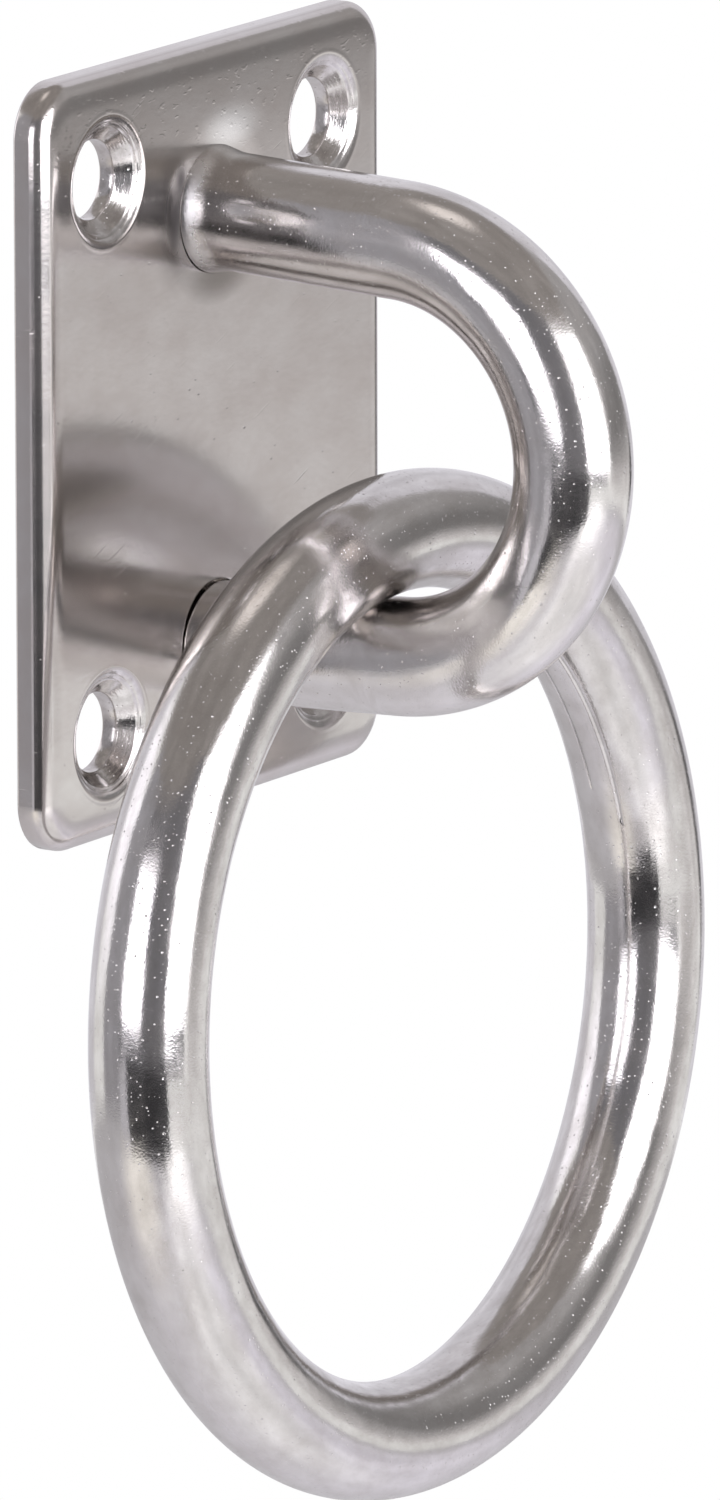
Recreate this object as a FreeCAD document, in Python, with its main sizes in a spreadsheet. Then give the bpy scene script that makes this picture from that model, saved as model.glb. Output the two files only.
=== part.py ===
import FreeCAD, Part
import os

import Sketcher
from FreeCAD import Placement, Rotation, Vector

# Mooring ring on an eye plate, all in polished stainless steel.
# A screw-on plate carries a staple bent from round rod. Its legs go through the plate and are
# welded from behind, and a closed ring of the same rod hangs over the lower leg.
# The origin is the centre of the plate's back face. +Z is up, the wall is the plane Y = 0,
# and the staple and the ring stand in front of it, towards -Y.

# Driving dimensions, in millimetres and degrees: name, value, meaning
DRIVING = [
    ("plate_width", 40.0, "plate from side to side"),
    ("plate_height", 50.0, "plate from bottom to top"),
    ("plate_thickness", 2.4, "sheet thickness"),
    ("corner_radius", 3.5, "corners of the plate's outline"),
    ("front_rounding", 1.4, "rounded edge round the front face"),
    ("back_rounding", 0.25, "broken edge round the back face"),
    ("screw_pitch_across", 25.3, "screw holes, centre to centre across"),
    ("screw_pitch_up", 36.0, "screw holes, centre to centre up"),
    ("screw_bore", 5.2, "diameter of a screw hole"),
    ("countersink_width", 8.8, "diameter of a countersink at the front face"),
    ("countersink_depth", 1.15, "depth of a countersink"),
    ("rod_diameter", 7.7, "rod of the staple"),
    ("eye_radius", 9.75, "inside radius of the staple's bend"),
    ("eye_reach", 13.45, "centre of the bend in front of the plate"),
    ("leg_spread", 2.5, "angle of each leg away from the staple's middle line"),
    ("leg_play", 0.15, "gap between a leg and its hole in the plate"),
    ("weld_depth", 1.2, "depth of the weld that fills the back of a leg hole"),
    ("weld_flare", 1.3, "how far the weld spreads round the leg hole"),
    ("wire_diameter", 7.7, "rod of the ring"),
    ("ring_bore", 51.3, "inside diameter of the ring"),
    ("ring_play", 0.2, "gap between the hanging ring and the lower leg"),
    ("ring_setback", 0.5, "the hanging ring's distance behind the centre of the bend"),
    ("ring_lean", 2.0, "angle at which the hanging ring's foot stands out from the wall"),
]

# Values worked out from them: name, formula, meaning. Angles without a unit are degrees.
WORKED_OUT = [
    ("screw_angle", "=2 * atan((countersink_width - screw_bore) / (2 * countersink_depth))",
     "full angle of a countersink"),
    ("bend_radius", "=eye_radius + rod_diameter / 2", "centre line of the bend"),
    ("leg_height_front", "=bend_radius / cos(leg_spread) + eye_reach * tan(leg_spread)",
     "leg's centre line at the front face"),
    ("leg_height_back", "=leg_height_front + plate_thickness * tan(leg_spread)",
     "leg's centre line at the back face"),
    ("leg_hole_height", "=(leg_height_front + leg_height_back) / 2", "centre of a leg hole"),
    ("leg_hole_width", "=rod_diameter + 2 * leg_play", "diameter of a leg hole"),
    ("weld_width", "=leg_hole_width + 2 * weld_flare", "diameter of a weld at the back face"),
    ("weld_angle", "=2 * atan(weld_flare / weld_depth)", "full angle of the weld's recess"),
    ("ring_radius", "=(ring_bore + wire_diameter) / 2", "centre line of the ring"),
    ("seat_radius", "=bend_radius - rod_diameter / 2 - wire_diameter / 2 - ring_play",
     "centre of the bend to the centre of the ring's wire where it hangs"),
    ("hang_depth", "=plate_thickness + eye_reach - ring_setback",
     "top of the ring's centre line, in front of the wall"),
    ("hang_drop", "=seat_radius / cos(leg_spread) + ring_setback * tan(leg_spread)",
     "top of the ring's centre line, below the plate's middle"),
]


def make_sheet(doc):
    """Fill the spreadsheet: driving numbers first, then the values worked out from them."""
    sheet = doc.addObject("Spreadsheet::Sheet", "Sizes")
    for row, (name, value, meaning) in enumerate(DRIVING + WORKED_OUT, start=1):
        sheet.set("A%d" % row, name)
        sheet.set("B%d" % row, str(value))
        sheet.set("C%d" % row, meaning)
        sheet.setAlias("B%d" % row, name)
    doc.recompute()
    return sheet


def make_body(doc, name):
    """Add a body whose label is the piece's name."""
    body = doc.addObject("PartDesign::Body", name)
    body.Label = name
    return body


def make_sketch(body, name, role):
    """Add a sketch on one of the body's own origin planes."""
    plane = next(item for item in body.Origin.OriginFeatures if item.Role == role)
    sketch = body.newObject("Sketcher::SketchObject", name)
    sketch.AttachmentSupport = [(plane, "")]
    sketch.MapMode = "FlatFace"
    return sketch


def bind(item, **formulas):
    """Tie properties of an object to formulas on the sheet."""
    for name, formula in formulas.items():
        item.setExpression(name, formula)


def dimension(sketch, name, formula, *constraint):
    """Add a named dimension to a sketch and tie it to the sheet."""
    index = sketch.addConstraint(Sketcher.Constraint(*constraint))
    sketch.renameConstraint(index, name)
    sketch.setExpression("Constraints." + name, formula)


def edges_where(shape, test):
    """Names of the edges whose points all pass the test."""
    names = []
    for index, edge in enumerate(shape.Edges, start=1):
        if all(test(point) for point in edge.discretize(5)):
            names.append("Edge%d" % index)
    return names


def add_feature(body, kind, name, **formulas):
    """Add a feature to a body and tie its sizes to the sheet."""
    feature = body.newObject("PartDesign::" + kind, name)
    bind(feature, **formulas)
    return feature


def add_circle_pair(sketch, height, diameter):
    """Two equal circles, one above and one below the sketch's origin."""
    start = Vector(0, 10, 0)
    upper = sketch.addGeometry(Part.Circle(start, Vector(0, 0, 1), 2))
    lower = sketch.addGeometry(Part.Circle(-start, Vector(0, 0, 1), 2))
    sketch.addConstraint(Sketcher.Constraint("PointOnObject", upper, 3, -2))
    sketch.addConstraint(Sketcher.Constraint("Symmetric", upper, 3, lower, 3, -1, 1))
    sketch.addConstraint(Sketcher.Constraint("Equal", upper, lower))
    dimension(sketch, "height", height, "DistanceY", -1, 1, upper, 3, 10)
    dimension(sketch, "diameter", diameter, "Diameter", upper, 4)


def add_screw_centres(sketch):
    """Four equal circles at the corners of a rectangle that is centred on the origin."""
    centres = [Vector(x, y, 0) for x, y in ((10, 15), (-10, 15), (-10, -15), (10, -15))]
    circles = [sketch.addGeometry(Part.Circle(c, Vector(0, 0, 1), 2)) for c in centres]
    right_top, left_top, left_bottom, right_bottom = circles
    sketch.addConstraint([
        Sketcher.Constraint("Symmetric", right_top, 3, left_top, 3, -2),
        Sketcher.Constraint("Symmetric", right_top, 3, left_bottom, 3, -1, 1),
        Sketcher.Constraint("Symmetric", right_top, 3, right_bottom, 3, -1),
        Sketcher.Constraint("Equal", right_top, left_top),
        Sketcher.Constraint("Equal", right_top, left_bottom),
        Sketcher.Constraint("Equal", right_top, right_bottom),
    ])
    dimension(sketch, "across", "Sizes.screw_pitch_across / 2", "DistanceX", -1, 1, right_top, 3, 10)
    dimension(sketch, "up", "Sizes.screw_pitch_up / 2", "DistanceY", -1, 1, right_top, 3, 15)
    dimension(sketch, "diameter", "Sizes.screw_bore", "Diameter", right_top, 4)


def add_outline(sketch):
    """A rectangle centred on the origin."""
    corners = [Vector(x, y, 0) for x, y in ((15, 20), (-15, 20), (-15, -20), (15, -20))]
    sides = [
        sketch.addGeometry(Part.LineSegment(corners[n], corners[(n + 1) % 4]))
        for n in range(4)
    ]
    top, left, bottom, right = sides
    for side, following in zip(sides, sides[1:] + sides[:1]):
        sketch.addConstraint(Sketcher.Constraint("Coincident", side, 2, following, 1))
    sketch.addConstraint([
        Sketcher.Constraint("Horizontal", top),
        Sketcher.Constraint("Vertical", left),
        Sketcher.Constraint("Horizontal", bottom),
        Sketcher.Constraint("Vertical", right),
        Sketcher.Constraint("Symmetric", top, 1, bottom, 1, -1, 1),
    ])
    dimension(sketch, "width", "Sizes.plate_width", "DistanceX", top, 2, top, 1, 30)
    dimension(sketch, "height", "Sizes.plate_height", "DistanceY", left, 2, left, 1, 40)


def make_plate(doc, sheet):
    """Pressed plate: outline, rounded corners and edges, screw holes and leg holes."""
    body = make_body(doc, "back_plate")
    front = -sheet.plate_thickness
    near = 1e-4

    outline = make_sketch(body, "PlateOutline", "XZ_Plane")
    add_outline(outline)
    blank = add_feature(body, "Pad", "Blank", Length="Sizes.plate_thickness")
    blank.Profile = outline
    doc.recompute()

    corners = add_feature(body, "Fillet", "Corners", Radius="Sizes.corner_radius")
    upright = [
        "Edge%d" % index
        for index, edge in enumerate(blank.Shape.Edges, start=1)
        if abs(edge.tangentAt(edge.FirstParameter).y) > 1 - near
    ]
    corners.Base = (blank, upright)
    doc.recompute()

    front_edge = add_feature(body, "Fillet", "FrontEdge", Radius="Sizes.front_rounding")
    front_edge.Base = (corners, edges_where(corners.Shape, lambda p: abs(p.y - front) < near))
    doc.recompute()

    back_edge = add_feature(body, "Fillet", "BackEdge", Radius="Sizes.back_rounding")
    back_edge.Base = (front_edge, edges_where(front_edge.Shape, lambda p: abs(p.y) < near))
    doc.recompute()

    centres = make_sketch(body, "ScrewCentres", "XZ_Plane")
    bind(centres, **{"AttachmentOffset.Base.z": "Sizes.plate_thickness"})
    add_screw_centres(centres)
    doc.recompute()
    screws = body.newObject("PartDesign::Hole", "ScrewHoles")
    screws.Profile = centres
    doc.recompute()
    screws.DepthType = "ThroughAll"
    screws.HoleCutType = "Countersink"
    screws.HoleCutCustomValues = True
    bind(screws, Diameter="Sizes.screw_bore", HoleCutDiameter="Sizes.countersink_width",
         HoleCutCountersinkAngle="Sizes.screw_angle")
    doc.recompute()

    leg_centres = make_sketch(body, "LegCentres", "XZ_Plane")
    add_circle_pair(leg_centres, "Sizes.leg_hole_height", "Sizes.leg_hole_width")
    doc.recompute()
    legs = body.newObject("PartDesign::Hole", "LegHoles")
    legs.Profile = leg_centres
    legs.Reversed = True
    doc.recompute()
    legs.DepthType = "ThroughAll"
    legs.HoleCutType = "Countersink"
    legs.HoleCutCustomValues = True
    bind(legs, Diameter="Sizes.leg_hole_width", HoleCutDiameter="Sizes.weld_width",
         HoleCutCountersinkAngle="Sizes.weld_angle")
    doc.recompute()
    return body


def add_staple_path(sketch):
    """Centre line of the staple: a leg, the bend and the other leg, tangent to each other."""
    upper = sketch.addGeometry(Part.LineSegment(Vector(0, 15, 0), Vector(-14, 14, 0)))
    bend = sketch.addGeometry(
        Part.ArcOfCircle(Part.Circle(Vector(-14, 0, 0), Vector(0, 0, 1), 14), 1.6, 4.7))
    lower = sketch.addGeometry(Part.LineSegment(Vector(-14, -14, 0), Vector(0, -15, 0)))
    sketch.addConstraint([
        Sketcher.Constraint("Tangent", upper, 2, bend, 1),
        Sketcher.Constraint("Tangent", bend, 2, lower, 1),
        Sketcher.Constraint("PointOnObject", upper, 1, -2),
        Sketcher.Constraint("PointOnObject", bend, 3, -1),
        Sketcher.Constraint("Symmetric", upper, 1, lower, 2, -1, 1),
    ])
    dimension(sketch, "reach", "Sizes.plate_thickness + Sizes.eye_reach", "DistanceX", bend, 3, -1, 1, 14)
    dimension(sketch, "radius", "Sizes.bend_radius", "Radius", bend, 14)
    dimension(sketch, "foot", "Sizes.leg_height_back", "DistanceY", -1, 1, upper, 1, 15)


def make_staple(doc):
    """The eye: round rod swept along the staple's centre line, its leg ends cut flat."""
    body = make_body(doc, "eye_staple")
    path = make_sketch(body, "StaplePath", "YZ_Plane")
    add_staple_path(path)

    section = make_sketch(body, "RodSection", "XZ_Plane")
    section.AttachmentOffset = Placement(Vector(0, 15, 0), Rotation(Vector(1, 0, 0), 2))
    bind(section, **{
        "AttachmentOffset.Base.y": "Sizes.leg_height_back",
        "AttachmentOffset.Rotation.Angle": "Sizes.leg_spread",
    })
    circle = section.addGeometry(Part.Circle(Vector(0, 0, 0), Vector(0, 0, 1), 4))
    section.addConstraint(Sketcher.Constraint("Coincident", circle, 3, -1, 1))
    dimension(section, "rod", "Sizes.rod_diameter", "Diameter", circle, 8)
    doc.recompute()

    rod = body.newObject("PartDesign::AdditivePipe", "BentRod")
    rod.Profile = section
    rod.Spine = (path, ["Edge1", "Edge2", "Edge3"])
    doc.recompute()

    ends = make_sketch(body, "LegEnds", "XZ_Plane")
    bind(ends, **{"AttachmentOffset.Base.z": "Sizes.weld_depth"})
    add_circle_pair(ends, "Sizes.leg_hole_height", "2 * Sizes.rod_diameter")
    trim = add_feature(body, "Pocket", "CutLegEnds", Length="Sizes.plate_thickness + Sizes.rod_diameter")
    trim.Profile = ends
    doc.recompute()
    return body


def make_weld(doc, name, side):
    """Weld metal that fills the recess behind one leg, flush with the plate's back face."""
    weld = doc.addObject("Part::Cone", name)
    weld.Label = name
    bind(weld, Radius1="Sizes.weld_width / 2", Radius2="Sizes.leg_hole_width / 2",
         Height="Sizes.weld_depth")
    weld.Placement = Placement(Vector(0, 0, 0), Rotation(Vector(1, 0, 0), 90))
    bind(weld, **{"Placement.Base.z": "%d * Sizes.leg_hole_height" % side})
    return weld


def make_ring(doc):
    """The ring: its wire turned about its own axis, then hung over the lower leg."""
    body = make_body(doc, "ring")
    section = make_sketch(body, "WireSection", "XY_Plane")
    circle = section.addGeometry(Part.Circle(Vector(30, 0, 0), Vector(0, 0, 1), 4))
    section.addConstraint(Sketcher.Constraint("PointOnObject", circle, 3, -1))
    dimension(section, "radius", "Sizes.ring_radius", "DistanceX", -1, 1, circle, 3, 30)
    dimension(section, "wire", "Sizes.wire_diameter", "Diameter", circle, 8)
    doc.recompute()
    turned = body.newObject("PartDesign::Revolution", "TurnedWire")
    turned.Profile = section
    turned.ReferenceAxis = (section, ["V_Axis"])
    turned.Angle = 360
    body.Placement = Placement(Vector(0, -16, -35), Rotation(Vector(-1, 0, 0), 2))
    bind(body, **{
        "Placement.Base.y": "-Sizes.hang_depth - Sizes.ring_radius * sin(Sizes.ring_lean)",
        "Placement.Base.z": "-Sizes.hang_drop - Sizes.ring_radius * cos(Sizes.ring_lean)",
        "Placement.Rotation.Angle": "Sizes.ring_lean",
    })
    doc.recompute()
    return body


def check(doc, pieces):
    """Stop if any feature failed or a piece has no valid solid."""
    for item in doc.Objects:
        if "Invalid" in item.State or "Error" in item.State:
            raise RuntimeError("failed object: %s %s" % (item.Name, item.State))
    for piece in pieces:
        if piece.Shape.isNull() or not piece.Shape.isValid() or len(piece.Shape.Solids) != 1:
            raise RuntimeError("bad shape: " + piece.Label)


def main():
    """Build the document, check it and write one file for each piece."""
    doc = FreeCAD.newDocument("MooringRing")
    sheet = make_sheet(doc)
    pieces = [
        make_plate(doc, sheet),
        make_staple(doc),
        make_weld(doc, "upper_leg_weld", 1),
        make_weld(doc, "lower_leg_weld", -1),
        make_ring(doc),
    ]
    doc.recompute()
    check(doc, pieces)
    os.makedirs("parts", exist_ok=True)
    for piece in pieces:
        piece.Shape.exportStep("parts/%s.step" % piece.Label)
        box = piece.Shape.BoundBox
        print("%-15s volume %9.2f  x %.2f..%.2f  y %.2f..%.2f  z %.2f..%.2f" % (
            piece.Label, piece.Shape.Volume, box.XMin, box.XMax, box.YMin, box.YMax, box.ZMin, box.ZMax))


main()
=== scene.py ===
"""Mooring ring on an eye plate, dressed as polished stainless steel.

A pressed plate carries a bent rod that is welded in from behind, and a loose
ring hangs in the eye. Sizes are millimetres, and each mesh is scaled to metres
once it is made. The plate's back is y = 0, the front is -Y and up is +Z.
"""
import logging
from dataclasses import dataclass, field
from enum import Enum
from math import atan2, cos, degrees, hypot, pi, radians, sin
from typing import NamedTuple

import bmesh
import bpy
from bmesh.types import BMEdge, BMesh, BMFace, BMVert
from bpy.types import ID, Material, Node, NodeSocket, Object, World
from mathutils import Matrix, Vector


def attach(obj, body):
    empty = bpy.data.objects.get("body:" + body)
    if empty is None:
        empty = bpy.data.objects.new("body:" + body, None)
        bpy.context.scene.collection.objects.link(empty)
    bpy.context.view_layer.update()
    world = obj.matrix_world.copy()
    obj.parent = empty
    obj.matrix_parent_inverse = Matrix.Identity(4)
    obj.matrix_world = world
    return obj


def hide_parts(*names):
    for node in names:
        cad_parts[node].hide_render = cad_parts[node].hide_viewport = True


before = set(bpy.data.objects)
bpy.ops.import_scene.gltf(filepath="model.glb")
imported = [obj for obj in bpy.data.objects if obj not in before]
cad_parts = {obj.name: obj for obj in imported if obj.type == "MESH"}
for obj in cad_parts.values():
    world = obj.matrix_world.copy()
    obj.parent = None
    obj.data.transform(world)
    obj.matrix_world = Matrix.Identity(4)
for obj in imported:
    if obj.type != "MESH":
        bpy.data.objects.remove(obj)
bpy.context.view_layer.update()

MM = 0.001
RUN = "wire_run"
MERGE_MM = 1e-4
ALONG = 0.999
PLATE_THICK = 2.4
LEG_UP = 14.25
SCREW_ACROSS, SCREW_UP = 12.65, 18.0
FACE_ON = Matrix.Rotation(pi / 2, 4, "X")
# A Mix node's sockets have the same names for every type, so they go by number.
NUMBER_A, NUMBER_B, COLOUR_A, COLOUR_B, COLOUR_OUT = 2, 3, 6, 7, 2
log = logging.getLogger("mooring_ring")

Edges = list[BMEdge]
Span = tuple[float, float]
Profile = tuple[Span, ...]
Source = Node | NodeSocket
Layers = list[tuple[Source, float]]


class Body(str, Enum):
    """The rigid bodies of the part."""

    PLATE = "eye_plate"
    RING = "loose_ring"


class Slot(str, Enum):
    """The record's material slots."""

    PLATE = "plate_steel"
    ROD = "rod_steel"
    WELD = "weld_steel"


# --- helpers


def linear(colour: str) -> tuple[float, ...]:
    """Turns an sRGB hex colour, with its hash, to linear red, green, blue and alpha."""
    steps = [int(colour[i:i + 2], 16) / 255 for i in (1, 3, 5)]
    return *(c / 12.92 if c <= 0.04045 else ((c + 0.055) / 1.055) ** 2.4 for c in steps), 1.0


class Graph:
    """The nodes of a material or of the world, which start empty.

    A finish sets `place` to the coordinates in millimetres that its patterns use.
    """

    place: Source

    def __init__(self, owner: Material | World) -> None:
        """Empties the owner's node tree.

        Args:
            owner: the material or world.
        """
        owner.use_nodes = True
        self.tree = owner.node_tree
        self.tree.nodes.clear()

    def add(self, kind: str, wires: dict | None = None, **settings: object) -> Node:
        """Adds one node with its settings and what goes into its sockets.

        Args:
            kind: the node's type, without the word ShaderNode.
            wires: socket name or number to a plain value, an output socket, or
                a node, which stands for its first output.
            settings: the node's own properties.

        Returns:
            The new node.
        """
        node = self.tree.nodes.new(f"ShaderNode{kind}")
        for name, value in settings.items():
            setattr(node, name, value)
        for socket, source in (wires or {}).items():
            if isinstance(source, Node):
                source = source.outputs[0]
            if isinstance(source, NodeSocket):
                self.tree.links.new(source, node.inputs[socket])
            else:
                node.inputs[socket].default_value = source
        return node


def direction(azimuth: float, elevation: float = 0.0) -> Vector:
    """Gives the unit vector at degrees right of the front and above the horizon."""
    a, e = radians(azimuth), radians(elevation)
    return Vector((sin(a) * cos(e), -cos(a) * cos(e), sin(e)))


def add_object(name: str, data: ID) -> Object:
    """Puts an object with this mesh, lamp or camera into the scene, at the origin."""
    bpy.context.scene.collection.objects.link(thing := bpy.data.objects.new(name, data))
    return thing


def add_mesh(name: str, bm: BMesh, material: Material) -> Object:
    """Puts a mesh object into the scene.

    Args:
        name: the object's name.
        bm: its mesh in metres, which is freed.
        material: its material.

    Returns:
        The new object, at the origin.
    """
    mesh = bpy.data.meshes.new(name)
    bm.to_mesh(mesh)
    bm.free()
    mesh.materials.append(material)
    return add_object(name, mesh)


def about(centre: Vector, change: Matrix) -> Matrix:
    """Makes a turn or a scale act about a place of its own."""
    return Matrix.Translation(centre) @ change @ Matrix.Translation(-centre)


def add_circle(bm: BMesh, radius: float, steps: int,
               place: Matrix) -> tuple[list[BMVert], Edges]:
    """Adds an open circle, and gives its vertices and its edges in their order round it."""
    ring = bmesh.ops.create_circle(bm, segments=steps, radius=radius, matrix=place)["verts"]
    return ring, list(dict.fromkeys(e for v in ring for e in v.link_edges))


def pull(bm: BMesh, loop: Edges, change: Matrix) -> Edges:
    """Extrudes an edge loop and moves, turns or scales the new one.

    Args:
        bm: the mesh.
        loop: the loop's edges.
        change: what happens to the new loop.

    Returns:
        The new loop's edges.
    """
    made = bmesh.ops.extrude_edge_only(bm, edges=loop)["geom"]
    verts = [g for g in made if isinstance(g, BMVert)]
    bmesh.ops.transform(bm, matrix=change, verts=verts)
    ends = set(verts)
    return [g for g in made if isinstance(g, BMEdge) and ends.issuperset(g.verts)]


# --- finishes


class Bumps(NamedTuple):
    """How large and how deep the bumps of a pattern are, in millimetres."""

    size: float
    depth: float


@dataclass(frozen=True)
class PolishedSteel:
    """Austenitic stainless steel, tumbled and then polished.

    The eye gets a clear mirror image with soft edges, a slow waviness left by
    bending and hand polishing, and fine orange peel and pits that break up the
    edge of a dark reflection.
    """

    name: str = "stainless_steel_polished"
    shades: tuple[str, str] = ("#d8d5d3", "#c7c3c0")
    rough: Span = (0.10, 0.21)
    patch_mm: float = 2.6
    patch_edge: Span = (0.33, 0.67)
    wave: Bumps = Bumps(3.2, 0.055)
    peel: Bumps = Bumps(0.15, 0.0055)
    pit: Bumps = Bumps(0.30, 0.034)
    pit_share: Span = (0.004, 0.40)
    pit_rarity: float = 1.9

    def build(self) -> Material:
        """Makes the material.

        Returns:
            The material, ready to assign.
        """
        material = bpy.data.materials.new(self.name)
        graph = Graph(material)
        graph.place = self.place(graph)
        colour, rough = self.colour_and_gloss(graph)
        normal = {}
        for height, depth in self.relief(graph):
            normal = {"Normal": graph.add("Bump", {
                "Height": height, "Distance": depth * MM, "Strength": 1.0, **normal})}
        shader = graph.add("BsdfPrincipled", {
            "Base Color": colour, "Roughness": rough, "Metallic": 1.0, **normal,
            **self.scratched(graph)})
        graph.add("OutputMaterial", {"Surface": shader})
        return material

    def place(self, graph: Graph) -> Node:
        """Gives the place on the piece in millimetres."""
        spot = graph.add("TexCoord").outputs["Object"]
        return graph.add("Mapping", {"Vector": spot, "Scale": [1 / MM] * 3})

    def grain(self, graph: Graph) -> Source:
        """Gives the coordinates that the patches follow."""
        return graph.place

    def scratched(self, graph: Graph) -> dict[str, object]:
        """Lists the shader's sockets for one-way scratches, none as a rule."""
        return {}

    def colour_and_gloss(self, graph: Graph) -> tuple[Source, Source]:
        """Makes the slow change of tone and of polish.

        Args:
            graph: its nodes.

        Returns:
            The colour and the roughness.
        """
        patch = graph.add("TexNoise", {
            "Vector": self.grain(graph), "Scale": 1 / self.patch_mm, "Detail": 4.0,
            "Roughness": 0.6})
        share = graph.add("MapRange", {
            "Value": patch, "From Min": self.patch_edge[0], "From Max": self.patch_edge[1]})
        tone = graph.add("Mix", {
            0: share, COLOUR_A: linear(self.shades[0]), COLOUR_B: linear(self.shades[1])},
            data_type="RGBA")
        gloss = graph.add("MapRange", {
            "Value": share, "To Min": self.rough[0], "To Max": self.rough[1]})
        return tone.outputs[COLOUR_OUT], gloss

    def relief(self, graph: Graph) -> Layers:
        """Lists waviness, orange peel and pits.

        Args:
            graph: its nodes.

        Returns:
            Each layer's height and depth in mm.
        """
        wave = graph.add("TexNoise", {
            "Vector": graph.place, "Scale": 1 / self.wave.size, "Detail": 1.0})
        peel = graph.add("TexNoise", {
            "Vector": graph.place, "Scale": 1 / self.peel.size, "Detail": 2.0})
        cell = graph.add("TexVoronoi", {"Vector": graph.place, "Scale": 1 / self.pit.size})
        # Few cells get a full-sized pit, because the random shade is raised to a power.
        chance = graph.add("Math", {0: cell.outputs["Color"], 1: self.pit_rarity},
                           operation="POWER")
        size = graph.add("MapRange", {
            "Value": chance, "To Min": self.pit_share[0], "To Max": self.pit_share[1]})
        near = graph.add("Math", {0: cell.outputs["Distance"], 1: size}, operation="DIVIDE")
        pit = graph.add("MapRange", {"Value": near}, interpolation_type="SMOOTHSTEP")
        return [(wave, self.wave.depth), (peel, self.peel.depth), (pit, self.pit.depth)]


@dataclass(frozen=True)
class DrawnRodSteel(PolishedSteel):
    """Drawn stainless rod, bent and polished.

    Fine lines from the drawing die still run along it, and streak highlights.
    """

    name: str = "stainless_steel_drawn_rod"
    patch_mm: float = 1.5
    streak_length: float = 1.8
    line_length: float = 40.0
    lines: tuple[Bumps, ...] = (Bumps(0.26, 0.0010), Bumps(1.5, 0.006))

    def drawn(self, graph: Graph, length: float) -> Node:
        """Gives the place along and round the wire, with the way along it shortened."""
        run = graph.add("Attribute", attribute_name=RUN).outputs["Vector"]
        return graph.add("Mapping", {"Vector": run, "Scale": (1 / length, 1.0, 1.0)})

    def grain(self, graph: Graph) -> Source:
        """Draws the patches out along the wire."""
        return self.drawn(graph, self.streak_length)

    def relief(self, graph: Graph) -> Layers:
        """Adds the drawn lines, which follow the wire."""
        along = self.drawn(graph, self.line_length)
        return super().relief(graph) + [(graph.add("TexNoise", {
            "Vector": along, "Scale": 1 / size, "Detail": 1.0}), depth)
            for size, depth in self.lines]


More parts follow.
